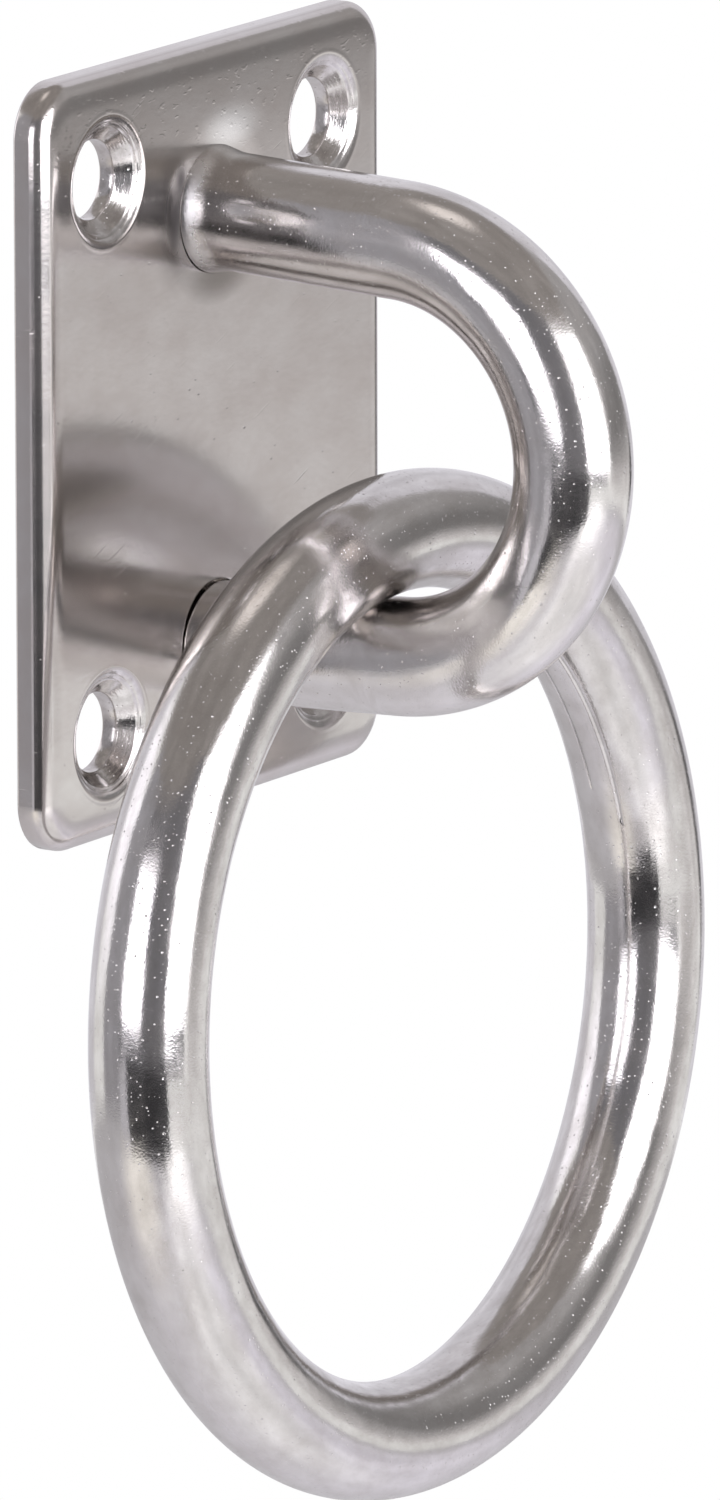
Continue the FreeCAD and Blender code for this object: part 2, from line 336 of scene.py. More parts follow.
@dataclass(frozen=True)
class WornCollarAndPaintedHighlightSteel(DrawnRodSteel):
    """The same rod at the plate, rubbed on one side of the upper leg and given a painted highlight
    there.

    Scratches along the leg fan the light out round it into a white band with a ragged edge, and
    the band's colour is also raised near white as a painted highlight. Past that edge the rod is
    as it is elsewhere.
    """

    name: str = "stainless_steel_worn_collar_painted_highlight"
    shades: tuple[str, str] = ("#dfdcda", "#d1cdca")
    # Painted highlight: the colour the band's base colour is raised to, on the upper leg's left
    # side.
    painted_highlight_shade: str = "#fbfafa"
    worn_rough: float = 0.31
    edge_y_mm: float = -3.4
    tooth_mm: float = 0.3125
    tooth_length: float = 4.0
    ragged_mm: float = 1.6
    soft_mm: float = 1.3
    # Where the worn band and its painted highlight sit across the leg.
    rubbed_and_highlight_x_mm: float = -3.1
    side_fade_mm: float = 2.4
    scratch: Bumps = Bumps(0.16, 0.018)
    scratch_length: float = 12.5
    one_way: float = 0.95
    quarter_turn: float = 0.25

    def leg_place(self, graph: Graph, length: float) -> Node:
        """Gives the place in millimetres, with the way along the leg shortened."""
        return graph.add("Mapping", {"Vector": graph.place, "Scale": (1.0, 1 / length, 1.0)})

    def wear_and_highlight(self, graph: Graph) -> Node:
        """Tells how worn the place is, and so how much painted highlight it gets, from none to
        fully.

        Args:
            graph: its nodes.

        Returns:
            The share of the full worn band and of its painted highlight.
        """
        tooth = graph.add("TexNoise", {
            "Vector": self.leg_place(graph, self.tooth_length),
            "Scale": 1 / self.tooth_mm, "Detail": 5.0, "Roughness": 0.65})
        axes = graph.add("SeparateXYZ", {0: graph.place}).outputs
        edge = graph.add("Math", {0: tooth, 1: self.ragged_mm, 2: axes["Y"]},
                         operation="MULTIPLY_ADD")
        start = self.edge_y_mm + (self.ragged_mm - self.soft_mm) / 2
        band = graph.add("MapRange", {
            "Value": edge, "From Min": start, "From Max": start + self.soft_mm},
            interpolation_type="SMOOTHSTEP")
        side = graph.add("MapRange", {
            "Value": axes["X"], "From Min": self.rubbed_and_highlight_x_mm + self.side_fade_mm,
            "From Max": self.rubbed_and_highlight_x_mm}, interpolation_type="SMOOTHSTEP")
        upper = graph.add("Math", {0: axes["Z"], 1: 0.0}, operation="GREATER_THAN")
        share = graph.add("Math", {0: band, 1: side}, operation="MULTIPLY")
        return graph.add("Math", {0: share, 1: upper}, operation="MULTIPLY")

    def colour_and_gloss(self, graph: Graph) -> tuple[Source, Source]:
        """Raises the worn band's colour near white as a painted highlight, and makes it less
        glossy.

        Args:
            graph: its nodes.

        Returns:
            The colour and the roughness.
        """
        colour, rough = super().colour_and_gloss(graph)
        wear_and_highlight = self.wear_and_highlight(graph)
        # Painted highlight mixed into the colour over the worn band.
        painted_highlight_colour = graph.add("Mix", {0: wear_and_highlight, COLOUR_A: colour, COLOUR_B: linear(self.painted_highlight_shade)},
                          data_type="RGBA")
        duller = graph.add("Mix", {0: wear_and_highlight, NUMBER_A: rough, NUMBER_B: self.worn_rough})
        return painted_highlight_colour.outputs[COLOUR_OUT], duller

    def scratched(self, graph: Graph) -> dict[str, object]:
        """Spreads reflections round the leg and not along it."""
        return {"Anisotropic": self.one_way, "Anisotropic Rotation": self.quarter_turn,
                "Tangent": graph.add("CombineXYZ", {"Y": 1.0})}

    def relief(self, graph: Graph) -> Layers:
        """Adds the scratches along the leg, on the worn band only.

        Args:
            graph: its nodes.

        Returns:
            Each layer's height and depth in mm.
        """
        scratch = graph.add("TexNoise", {
            "Vector": self.leg_place(graph, self.scratch_length),
            "Scale": 1 / self.scratch.size, "Detail": 2.0})
        height = graph.add("Math", {0: scratch, 1: self.wear_and_highlight(graph)}, operation="MULTIPLY")
        return super().relief(graph) + [(height, self.scratch.depth)]


@dataclass(frozen=True)
class PaintedLightSpot:
    """A soft oval on the plate's front with a painted highlight or painted shade in its colour,
    and a roughness of its own.
    """

    x: float
    z: float
    wide: float
    high: float
    shade: str
    rough: float
    deep: float = 2.0

    def share(self, graph: Graph, place: Source) -> Node:
        """Tells how far inside the spot a place is.

        Args:
            graph: its nodes.
            place: place in millimetres.

        Returns:
            The share, from none at the oval's edge to 1 at its middle.
        """
        sizes = (self.wide, self.deep, self.high)
        middle = (self.x, -PLATE_THICK, self.z)
        centred = graph.add("Mapping", {
            "Vector": place, "Scale": [1 / size for size in sizes],
            "Location": [-at / size for at, size in zip(middle, sizes)]})
        near = graph.add("TexGradient", {"Vector": centred}, gradient_type="SPHERICAL")
        return graph.add("MapRange", {"Value": near.outputs["Fac"]},
                         interpolation_type="SMOOTHERSTEP")


@dataclass(frozen=True)
class RolledSheetSteel(PolishedSteel):
    """Cold-rolled stainless sheet, pressed and mirror polished.

    It mirrors the eye with a slight ripple. Its mottling is drawn out across the plate, as it was
    rolled, and it carries short handling marks and, above the upper leg, fine blisters. Round that
    leg's root its colour holds a painted highlight above and painted shade below and beside it,
    the last darkening the leg's bright reflection in the plate, and the polish there is rougher.
    """

    name: str = "stainless_steel_rolled_sheet"
    shades: tuple[str, str] = ("#d3cfcc", "#c9c3bf")
    rough: Span = (0.15, 0.20)
    patch_mm: float = 3.4
    wave: Bumps = Bumps(6.5, 0.024)
    peel: Bumps = Bumps(0.4, 0.0034)
    pit: Bumps = Bumps(0.6, 0.022)
    pit_share: Span = (0.004, 0.19)
    pit_rarity: float = 3.5
    mark_mm: tuple[float, float, float] = (2.2, 2.0, 0.20)
    mark_edge: Span = (0.80, 0.88)
    mark_depth: float = 0.006
    mark_angle: float = 38.0
    rolled_length: float = 1.8
    blister: Bumps = Bumps(0.36, 0.008)
    blister_edge: Span = (0.64, 0.76)
    blister_up_mm: Span = (16.0, 20.5)
    worn_out_mm: Span = (17.3, 25.0)
    worn_depth: float = 0.38
    painted_light_spots: tuple[PaintedLightSpot, ...] = (
        # Painted light round the upper leg's root: a painted highlight above it, painted shade
        # under it, and painted shade beside it over the leg's mirrored crescent.
        PaintedLightSpot(1.8, 19.3, 5.0, 2.2, "#fdfcfb", 0.17),
        PaintedLightSpot(0.4, 9.6, 5.6, 2.1, "#b0aaa5", 0.20),
        PaintedLightSpot(-4.9, 14.4, 3.3, 6.2, "#807b78", 0.27),
        PaintedLightSpot(-5.0, 14.2, 1.3, 3.6, "#5a5655", 0.36),
        PaintedLightSpot(-4.1, 16.7, 1.2, 1.7, "#5a5655", 0.36),
    )

    def place(self, graph: Graph) -> Node:
        """Gives the place in millimetres, drawn out across the plate."""
        return graph.add("Mapping", {
            "Vector": super().place(graph), "Scale": (1 / self.rolled_length, 1.0, 1.0)})

    def colour_and_gloss(self, graph: Graph) -> tuple[Source, Source]:
        """Adds the painted highlight and the painted shade round the upper leg, each with its own
        roughness.

        Args:
            graph: its nodes.

        Returns:
            The colour and the roughness.
        """
        colour, rough = super().colour_and_gloss(graph)
        place = super().place(graph)
        for spot in self.painted_light_spots:
            # Each spot mixes its painted highlight or painted shade into the colour, and sets its
            # roughness.
            share = spot.share(graph, place)
            colour = graph.add("Mix", {0: share, COLOUR_A: colour, COLOUR_B: linear(spot.shade)},
                               data_type="RGBA").outputs[COLOUR_OUT]
            rough = graph.add("Mix", {0: share, NUMBER_A: rough, NUMBER_B: spot.rough})
        return colour, rough

    def relief(self, graph: Graph) -> Layers:
        """Adds the handling marks, the blisters and the wear at the ends of the plate.

        Args:
            graph: its nodes.

        Returns:
            Each layer's height and depth in mm.
        """
        leaning = graph.add("Mapping", {
            "Vector": graph.place, "Rotation": (0, radians(self.mark_angle), 0)})
        stretched = graph.add("Mapping", {
            "Vector": leaning, "Scale": [1 / size for size in self.mark_mm]})
        dash = graph.add("TexNoise", {"Vector": stretched, "Scale": 1.0, "Detail": 0.0})
        mark = graph.add("MapRange", {
            "Value": dash, "From Min": self.mark_edge[0], "From Max": self.mark_edge[1],
            "To Min": 1.0, "To Max": 0.0})
        up = graph.add("SeparateXYZ", {0: graph.place}).outputs["Z"]
        level = graph.add("Math", {0: up}, operation="ABSOLUTE")
        out = graph.add("MapRange", {
            "Value": level, "From Min": self.worn_out_mm[0], "From Max": self.worn_out_mm[1]})
        worn = graph.add("Math", {0: out, 1: out}, operation="MULTIPLY")
        low = graph.add("Math", {0: 1.0, 1: worn}, operation="SUBTRACT")
        upper = graph.add("MapRange", {
            "Value": up, "From Min": self.blister_up_mm[0], "From Max": self.blister_up_mm[1]})
        grain = graph.add("TexNoise", {
            "Vector": graph.place, "Scale": 1 / self.blister.size, "Detail": 1.0})
        peak = graph.add("MapRange", {
            "Value": grain, "From Min": self.blister_edge[0], "From Max": self.blister_edge[1]})
        blister = graph.add("Math", {0: peak, 1: upper}, operation="MULTIPLY")
        return super().relief(graph) + [
            (mark, self.mark_depth), (blister, self.blister.depth), (low, self.worn_depth)]


@dataclass(frozen=True)
class TurnedSinkSteel(PolishedSteel):
    """The countersinks, cut with a three-lip cutter and left as turned.

    Fine rings round each hole fan its highlights out into bright and dark wedges.
    """

    name: str = "stainless_steel_turned_countersink"
    shades: tuple[str, str] = ("#dfdcda", "#bdb8b5")
    rough: Span = (0.12, 0.20)
    patch_mm: float = 1.2
    wave: Bumps = Bumps(0.9, 0.012)
    ring: Bumps = Bumps(0.14, 0.011)
    chatter: float = 1.6

    def relief(self, graph: Graph) -> Layers:
        """Adds the cutter's rings round the four holes, which are mirror images.

        Args:
            graph: its nodes.

        Returns:
            Each layer's height and depth in mm.
        """
        folded = graph.add("VectorMath", {0: graph.place}, operation="ABSOLUTE")
        flat = graph.add("VectorMath", {
            0: folded, 1: (1.0, 0.0, 1.0), 2: (-SCREW_ACROSS, 0.0, -SCREW_UP)},
            operation="MULTIPLY_ADD")
        radius = graph.add("VectorMath", {0: flat}, operation="LENGTH").outputs["Value"]
        way = graph.add("VectorMath", {0: flat}, operation="NORMALIZE")
        spread = graph.add("VectorMath", {0: way, "Scale": self.chatter}, operation="SCALE")
        turns = graph.add("Math", {0: radius, 1: 1 / self.ring.size}, operation="MULTIPLY")
        ring = graph.add("TexNoise", {
            "Vector": spread, "W": turns, "Scale": 1.0, "Detail": 1.0}, noise_dimensions="4D")
        return super().relief(graph) + [(ring, self.ring.depth)]


@dataclass(frozen=True)
class GroundWeldSteel(PolishedSteel):
    """The welds behind the legs, ground flush with the plate.

    Coarse grinding lines cross them, and the heat leaves a straw tint.
    """

    name: str = "stainless_steel_ground_weld"
    shades: tuple[str, str] = ("#cac6c1", "#bfb5a8")
    rough: Span = (0.20, 0.30)
    patch_mm: float = 1.6
    wave: Bumps = Bumps(1.4, 0.02)
    line: Bumps = Bumps(0.14, 0.004)
    line_angle: float = 20.0
    line_length: float = 24.0

    def relief(self, graph: Graph) -> Layers:
        """Adds the grinding lines.

        Args:
            graph: its nodes.

        Returns:
            Each layer's height and depth in mm.
        """
        leaning = graph.add("Mapping", {
            "Vector": graph.place, "Rotation": (0, radians(self.line_angle), 0)})
        drawn = graph.add("Mapping", {
            "Vector": leaning, "Scale": (1 / self.line_length, 1.0, 1.0)})
        line = graph.add("TexNoise", {"Vector": drawn, "Scale": 1 / self.line.size, "Detail": 2.0})
        return super().relief(graph) + [(line, self.line.depth)]


# --- pieces


@dataclass
class Piece:
    """One piece of the part. Each kind of piece gives its own shape."""

    material: Material
    extra: Material | None = None
    name: str = ""
    node: str = ""
    body: Body = Body.PLATE
    slot: Slot = Slot.ROD
    crease: float | None = 40.0
    round_steps: int = 96

    def shape(self, bm: BMesh) -> None:
        """Makes the piece in its empty mesh, in millimetres."""
        raise NotImplementedError

    def run(self, point: Vector) -> Vector:
        """Gives the place along and round a wire, which its drawn lines follow."""
        return point

    def has_extra(self, spot: Vector) -> bool:
        """Tells whether a face with this centre gets the extra material."""
        return False

    def build(self) -> Object:
        """Builds and dresses the piece.

        Its doubles are merged first, and then its faces are turned outward. Where
        it has flat faces, edges past the crease angle are kept sharp.

        Returns:
            The piece, in metres.
        """
        bm = bmesh.new()
        self.shape(bm)
        if self.slot is Slot.ROD:
            layer = bm.verts.layers.float_vector.new(RUN)
            for vert in bm.verts:
                vert[layer] = self.run(vert.co)
        bmesh.ops.remove_doubles(bm, verts=bm.verts, dist=MERGE_MM)
        bmesh.ops.recalc_face_normals(bm, faces=bm.faces)
        bmesh.ops.scale(bm, vec=(MM, MM, MM), verts=bm.verts)
        piece = add_mesh(self.name, bm, self.material)
        piece.data.shade_smooth()
        if self.crease is not None:
            piece.data.set_sharp_from_angle(angle=radians(self.crease))
            piece.modifiers.new("flat_faces", "WEIGHTED_NORMAL").keep_sharp = True
        if self.extra is not None:
            piece.data.materials.append(self.extra)
            for face in piece.data.polygons:
                face.material_index = int(self.has_extra(face.center / MM))
        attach(piece, self.body.value)
        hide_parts(self.node)
        log.info("%s: %d faces on %s", self.name, len(piece.data.polygons), self.body.value)
        return piece


@dataclass
class BackPlate(Piece):
    """The pressed back plate with four countersunk holes and two leg holes."""

    name: str = "back_plate_sheet"
    node: str = "back_plate"
    slot: Slot = Slot.PLATE
    width: float = 40.0
    height: float = 50.0
    thickness: float = PLATE_THICK
    corner_radius: float = 3.5
    corner_steps: int = 14
    back_rounding: float = 0.25
    back_steps: int = 3
    sink_radius: float = 4.12
    turned: Span = (0.03, 2.3)
    support: float = 0.06
    # The worn front edge, from the side wall in: each facet's slope against the
    # front face in degrees, and its length.
    edge_facets: Profile = (
        (84.0, 0.07), (80.0, 0.11), (75.0, 0.07), (70.0, 0.07), (65.0, 0.08), (61.0, 0.08),
        (57.0, 0.09), (53.0, 0.09), (49.0, 0.08), (45.0, 0.07), (41.0, 0.09), (37.0, 0.13),
        (33.0, 0.14), (29.0, 0.13), (25.0, 0.11), (21.0, 0.09), (16.5, 0.09), (12.5, 0.11),
        (9.5, 0.14), (7.2, 0.16), (5.4, 0.17), (4.0, 0.15), (2.8, 0.12), (1.9, 0.10),
        (1.2, 0.09), (0.7, 0.09), (0.3, 0.08))
    # A screw hole's wall: radius and depth of each ring, down a raised lip, a rounded
    # shoulder, the cone and the bore.
    screw_wall: Profile = (
        (4.62, 0.0), (4.50, -0.005), (4.42, -0.008), (4.36, -0.006), (4.30, 0.003),
        (4.24, 0.016), (4.16, 0.039), (4.06, 0.071), (3.96, 0.114), (3.87, 0.157),
        (3.80, 0.193), (3.775, 0.225), (3.75, 0.245), (3.70, 0.262), (3.60, 0.305),
        (3.52, 0.345), (3.47, 0.385), (3.44, 0.414), (3.40, 0.455), (2.70, 1.17),
        (2.66, 1.21), (2.625, 1.24), (2.60, 1.29), (2.60, 2.28), (2.63, 2.37), (2.72, 2.40))
    # A leg hole's wall. The sheet dips a little towards it, which lights up its upper
    # side, and it flares at the back for the weld.
    leg_wall: Profile = (
        (6.2, 0.0), (5.8, 0.006), (5.4, 0.020), (5.0, 0.042), (4.7, 0.062), (4.4, 0.084),
        (4.2, 0.098), (4.07, 0.110), (4.02, 0.14), (4.0, 0.20), (4.0, 1.2), (5.3, 2.4))
    # The front of a leg's hole is a hair off its place, across and towards the middle,
    # so the gap round the leg shows on one side.
    leg_off: Span = (-0.04, -0.10)

    def rim(self, bm: BMesh, level: float) -> Edges:
        """Finds the edges that lie in the plane y = level."""
        return [e for e in bm.edges if all(abs(v.co.y - level) < MERGE_MM for v in e.verts)]

    def round_off(self, bm: BMesh, radius: float, steps: int, edges: Edges) -> None:
        """Rounds edges of the slab to a radius in a number of steps."""
        bmesh.ops.bevel(bm, geom=edges, offset=radius, offset_type="OFFSET",
                        segments=steps, profile=0.5, affect="EDGES", material=-1,
                        clamp_overlap=False)

    def slab(self, bm: BMesh) -> None:
        """Makes the rounded slab without its two flat faces.

        Args:
            bm: the plate's mesh.
        """
        bmesh.ops.create_cube(bm, size=1.0)
        edge = [(radians(slope), reach) for slope, reach in self.edge_facets]
        wall = self.thickness - sum(reach * sin(slope) for slope, reach in edge)
        bmesh.ops.scale(bm, vec=(self.width, wall, self.height), verts=bm.verts)
        bmesh.ops.translate(bm, vec=(0, -wall / 2, 0), verts=bm.verts)
        self.round_off(bm, self.corner_radius, self.corner_steps,
                       [e for e in bm.edges if e.verts[0].co.y != e.verts[1].co.y])
        bm.normal_update()
        cap = [f for f in bm.faces if f.normal.y < -ALONG]
        for slope, reach in edge:
            bmesh.ops.inset_region(bm, faces=cap, thickness=reach * cos(slope),
                                   depth=reach * sin(slope), use_even_offset=True,
                                   use_boundary=True)
        self.round_off(bm, self.back_rounding, self.back_steps, self.rim(bm, 0.0))
        bm.normal_update()
        flats = [f for f in bm.faces if abs(f.normal.y) > ALONG and len(f.verts) > 8]
        bmesh.ops.delete(bm, geom=flats, context="FACES_ONLY")

    def sink_hole(self, bm: BMesh, x: float, z: float, wall: Profile, off: Vector) -> None:
        """Makes the wall of one hole as a stack of rings.

        Args:
            bm: the plate's mesh.
            x: the hole's place across.
            z: the hole's place up.
            wall: radius and depth of each ring.
            off: how far off its place the hole's front part is.
        """
        radius, depth = wall[0]
        centre = Vector((x + off.x, depth - self.thickness, z + off.z))
        loop = add_circle(bm, radius, self.round_steps, Matrix.Translation(centre) @ FACE_ON)[1]
        for wider, deeper in wall[1:]:
            grow = about(centre, Matrix.Scale(wider / radius, 4))
            move = Vector((0, deeper - depth, 0))
            if deeper > self.thickness / 3 > depth:
                move = move - off
            loop = pull(bm, loop, Matrix.Translation(move) @ grow)
            radius, depth, centre = wider, deeper, centre + move

    def shape(self, bm: BMesh) -> None:
        """Makes the plate.

        Args:
            bm: its empty mesh.
        """
        self.slab(bm)
        for side in (-1, 1):
            for up in (-1, 1):
                self.sink_hole(bm, side * SCREW_ACROSS, up * SCREW_UP, self.screw_wall,
                               Vector())
            self.sink_hole(bm, 0.0, side * LEG_UP, self.leg_wall,
                           Vector((self.leg_off[0], 0.0, self.leg_off[1] * side)))
        bmesh.ops.remove_doubles(bm, verts=bm.verts, dist=MERGE_MM)
        for level, facing in ((-self.thickness, -1.0), (0.0, 1.0)):
            rims = [e for e in self.rim(bm, level) if e.is_boundary]
            made = bmesh.ops.triangle_fill(bm, use_beauty=True, edges=rims,
                                           normal=(0.0, facing, 0.0))["geom"]
            flat = [g for g in made if isinstance(g, BMFace)]
            bmesh.ops.inset_region(bm, faces=flat, thickness=self.support,
                                   use_even_offset=True, use_boundary=True)

    def has_extra(self, spot: Vector) -> bool:
        """Tells whether a face is in the turned part of a screw hole."""
        off = hypot(abs(spot.x) - SCREW_ACROSS, abs(spot.z) - SCREW_UP)
        return off < self.sink_radius and self.turned[0] < spot.y + self.thickness < self.turned[1]


@dataclass(frozen=True)
class Shoulder:
    """How a leg swells at the plate: its lean in degrees and its share of the swell."""

    lean: float
    share: float


@dataclass
class EyeRod(Piece):
    """The bent rod: two legs and a bend, with its ends inside the plate.

    The upper shoulder leans into the plate above, so its gap only shows below. The
    lower one leans the other way, so its gap shows above.
    """

    name: str = "eye_rod"
    node: str = "eye_staple"
    radius: float = 3.838
    collar_length: float = 2.4
    upper: Shoulder = Shoulder(-1.3, 1.0)
    lower: Shoulder = Shoulder(2.1, 0.4)
    bend_radius: float = 13.6
    bend_y: float = -15.85
    spread: float = 2.5
    leg_end: float = -1.2
    leg_steps: int = 6
    bend_steps: int = 160
    # The full shoulder: distance in front of the plate and how much wider than the rod.
    swell: Profile = (
        (2.0, 0.0), (1.8, 0.003), (1.6, 0.012), (1.4, 0.030), (1.2, 0.058), (1.0, 0.094),
        (0.8, 0.136), (0.6, 0.180), (0.4, 0.224), (0.2, 0.266), (0.05, 0.296),
        (-0.05, 0.310), (-0.10, 0.300), (-0.16, 0.18), (-0.24, 0.0), (-2.0, 0.0))

    @property
    def lean(self) -> float:
        """Each leg's lean in radians."""
        return radians(self.spread)

    def leg(self, side: int) -> tuple[Vector, Vector]:
        """Gives where the upper (1) or lower (-1) leg starts, and its way to the wall."""
        c, s, out = cos(self.lean), sin(self.lean), self.bend_radius
        return Vector((0, self.bend_y - out * s, side * out * c)), Vector((0, c, side * s))

    def run(self, point: Vector) -> Vector:
        """Gives the place along and round the rod.

        Args:
            point: a place on the rod's skin.

        Returns:
            Length along the rod, height off its centre line, and x.
        """
        side = 1 if point.z > 0 else -1
        start, way = self.leg(side)
        past = point - start
        away = past.dot(way)
        if away > 0:
            out = way.cross(Vector((1, 0, 0))) * side
            half = self.bend_radius * (pi - 2 * self.lean) / 2
            return Vector((half + away, past.dot(out), point.x))
        y, z = point.y - self.bend_y, point.z
        turn = abs(atan2(z, -y))
        return Vector((turn * self.bend_radius, hypot(y, z) - self.bend_radius, point.x))

    def draw_leg(self, bm: BMesh, rim: Edges, side: int) -> None:
        """Draws one leg out of the bend, down to its end in the plate.

        Args:
            bm: the rod's mesh.
            rim: the bend's open end.
            side: 1 for the upper leg and -1 for the lower.
        """
        centre, way = self.leg(side)
        root = -PLATE_THICK - self.collar_length
        straight = (root - centre.y) / way.y / self.leg_steps
        for _ in range(self.leg_steps):
            rim = pull(bm, rim, Matrix.Translation(way * straight))
            centre = centre + way * straight
        shoulder = self.upper if side > 0 else self.lower
        lean = self.spread * -side + shoulder.lean
        level = Matrix.Rotation(radians(lean), 4, "X")
        radius = self.radius
        for gap, more in self.swell:
            wide = self.radius + more * shoulder.share
            move = way * ((-PLATE_THICK - gap - centre.y) / way.y)
            change = level @ Matrix.Scale(wide / radius, 4)
            rim = pull(bm, rim, Matrix.Translation(move) @ about(centre, change))
            centre, radius, level = centre + move, wide, Matrix.Identity(4)

    def shape(self, bm: BMesh) -> None:
        """Makes the rod.

        Args:
            bm: its empty mesh.
        """
        turn = Matrix.Rotation(pi / 2 + self.lean, 4, "X")
        ring, loop = add_circle(bm, self.radius, self.round_steps,
                                Matrix.Translation(self.leg(1)[0]) @ turn)
        spun = bmesh.ops.spin(bm, geom=ring + loop, cent=(0, self.bend_y, 0), axis=(1, 0, 0),
                              angle=pi - 2 * self.lean, steps=self.bend_steps,
                              use_merge=False)["geom_last"]
        self.draw_leg(bm, loop, 1)
        self.draw_leg(bm, [g for g in spun if isinstance(g, BMEdge)], -1)
        cut = bmesh.ops.bisect_plane(bm, geom=[*bm.verts, *bm.edges, *bm.faces],
                                     plane_co=(0, self.leg_end, 0), plane_no=(0, 1, 0),
                                     clear_outer=True)["geom_cut"]
        rims = [g for g in cut if isinstance(g, BMEdge)]
        bmesh.ops.holes_fill(bm, edges=rims, sides=0)

    def has_extra(self, spot: Vector) -> bool:
        """Tells whether a face is on one of the collars."""
        return spot.y > -PLATE_THICK - self.collar_length


@dataclass
class LegWeld(Piece):
    """One weld that fills the flare behind a leg, ground flush with the back."""

    slot: Slot = Slot.WELD
    crease: float | None = 30.0
    up: float = LEG_UP
    front_radius: float = 4.0
    back_radius: float = 5.3
    depth: float = 1.2
    round_steps: int = 72

    def shape(self, bm: BMesh) -> None:
        """Makes the weld in its empty mesh."""
        spot = Matrix.Translation((0, -self.depth / 2, self.up)) @ FACE_ON
        bmesh.ops.create_cone(bm, cap_ends=True, segments=self.round_steps,
                              radius1=self.back_radius, radius2=self.front_radius,
                              depth=self.depth, matrix=spot)


@dataclass(frozen=True)
class Seam:
    """A fine line pressed into the ring, in degrees, and as deep as it is wide.

    `around` counts round the wire from outward over the front, and `start` and
    `end` from the ring's top.
    """

    around: float
    start: float
    end: float
    depth: float


@dataclass
class LooseRing(Piece):
    """The loose ring, bent from the same rod and butt welded."""

    name: str = "ring_wire"
    node: str = "ring"
    body: Body = Body.RING
    crease: float | None = None
    radius: float = 3.84
    ring_radius: float = 29.5
    centre: Vector = field(default_factory=lambda: Vector((0.0, -16.3795, -35.2093)))
    lean: float = 2.0
    ring_steps: int = 400
    seams: tuple[Seam, ...] = (Seam(165.0, 40.0, 77.0, 0.07), Seam(190.0, 44.0, 72.0, 0.04))

    def axes(self) -> tuple[Vector, Vector]:
        """Gives the unit vectors to the ring's top and along its axis."""
        c, s = cos(radians(self.lean)), sin(radians(self.lean))
        return Vector((0, s, c)), Vector((0, -c, s))

    def parts(self, point: Vector) -> tuple[float, float, float]:
        """Splits a place into across, towards the ring's top and along its axis."""
        (top, axis), off = self.axes(), point - self.centre
        return off.x, off.dot(top), off.dot(axis)

    def run(self, point: Vector) -> Vector:
        """Gives the place along and round the wire.

        Args:
            point: a place on the ring's skin.

        Returns:
            Length along the ring, height off its centre line, and depth.
        """
        across, up, deep = self.parts(point)
        turn = abs(atan2(across, -up))
        return Vector((turn * self.ring_radius, hypot(across, up) - self.ring_radius, deep))

    def angles(self, point: Vector) -> tuple[float, float]:
        """Gives a place's degrees from the ring's top and round the wire."""
        across, up, deep = self.parts(point)
        return (degrees(atan2(across, up)),
                degrees(atan2(deep, hypot(across, up) - self.ring_radius)) % 360)

    def on_seam(self, edge: BMEdge, seam: Seam) -> bool:
        """Tells whether an edge of the ring runs along a seam."""
        ends = [self.angles(v.co) for v in edge.verts]
        return abs(ends[0][0] - ends[1][0]) > 180 / self.ring_steps and all(
            seam.start < turn < seam.end and abs(around - seam.around) < 180 / self.round_steps
            for turn, around in ends)

    def groove(self, bm: BMesh, seam: Seam) -> None:
        """Presses a seam into the inside of the ring.

        Args:
            bm: the ring's mesh.
            seam: the seam.
        """
        edges = [e for e in bm.edges if self.on_seam(e, seam)]
        made = bmesh.ops.bevel(bm, geom=edges, offset=seam.depth / 2, offset_type="OFFSET",
                               segments=2, profile=0.5, affect="EDGES", material=-1)
        bm.normal_update()
        faces = set(made["faces"])
        rims = {e for f in faces for e in f.edges
                if len(e.link_faces) == 2 and not faces.issuperset(e.link_faces)}
        outer = {v for e in rims for v in e.verts}
        for vert in made["verts"]:
            if vert not in outer:
                bmesh.ops.translate(bm, vec=-vert.normal * seam.depth, verts=[vert])

    def shape(self, bm: BMesh) -> None:
        """Makes the ring.

        Args:
            bm: its empty mesh.
        """
        top, axis = self.axes()
        spot = (Matrix.Translation(self.centre + top * self.ring_radius)
                @ Matrix.Rotation(pi / 2, 4, "Y"))
        ring, loop = add_circle(bm, self.radius, self.round_steps, spot)
        bmesh.ops.spin(bm, geom=ring + loop, cent=self.centre, axis=axis,
                       angle=2 * pi, steps=self.ring_steps, use_merge=True)
        for seam in self.seams:
            self.groove(bm, seam)


# --- studio


class Tint(str, Enum):
    """The colours of the studio's light and floor."""

    DAY = "#f9f7ff"
    ROOM = "#fbf8f9"
    CEILING = "#fff7f3"
    FLOOR = "#f7f4ff"
    BOARD = "#faf9fb"
    PAPER = "#fdf9f4"
    WHITE = "#ffffff"
    MATT = "#e4e2e6"


@dataclass(frozen=True)
class Softbox:
    """An upright soft lamp in the tent's wall, facing the object, in metres."""

    name: str
    azimuth: float
    width: float
    bottom: float
    top: float
    light: float
    out: float = 0.52

    def build(self) -> None:
        """Makes the lamp."""
        light = bpy.data.lights.new(self.name, "AREA")
        light.shape = "RECTANGLE"
        light.size = self.width
        light.size_y = self.top - self.bottom
        light.energy = self.light * pi * light.size * light.size_y
        light.color = linear(Tint.DAY)[:3]
        lamp = add_object(self.name, light)
        way = direction(self.azimuth)
        lamp.location = way * self.out + Vector((0, 0, (self.top + self.bottom) / 2))
        lamp.rotation_euler = (-way).to_track_quat("-Z", "Y").to_euler()
        lamp.visible_camera = False


@dataclass(frozen=True)
class WallCard:
    """A curved card in the tent's wall, from one azimuth to another, in metres.

    Its light changes evenly from its foot up to where the full card starts.
    """

    name: str
    left: float
    right: float
    bottom: float
    top: float
    light: float
    foot_light: float = 0.0
    foot_top: float = -1.0
    tint: Tint = Tint.DAY
    steps: int = 24


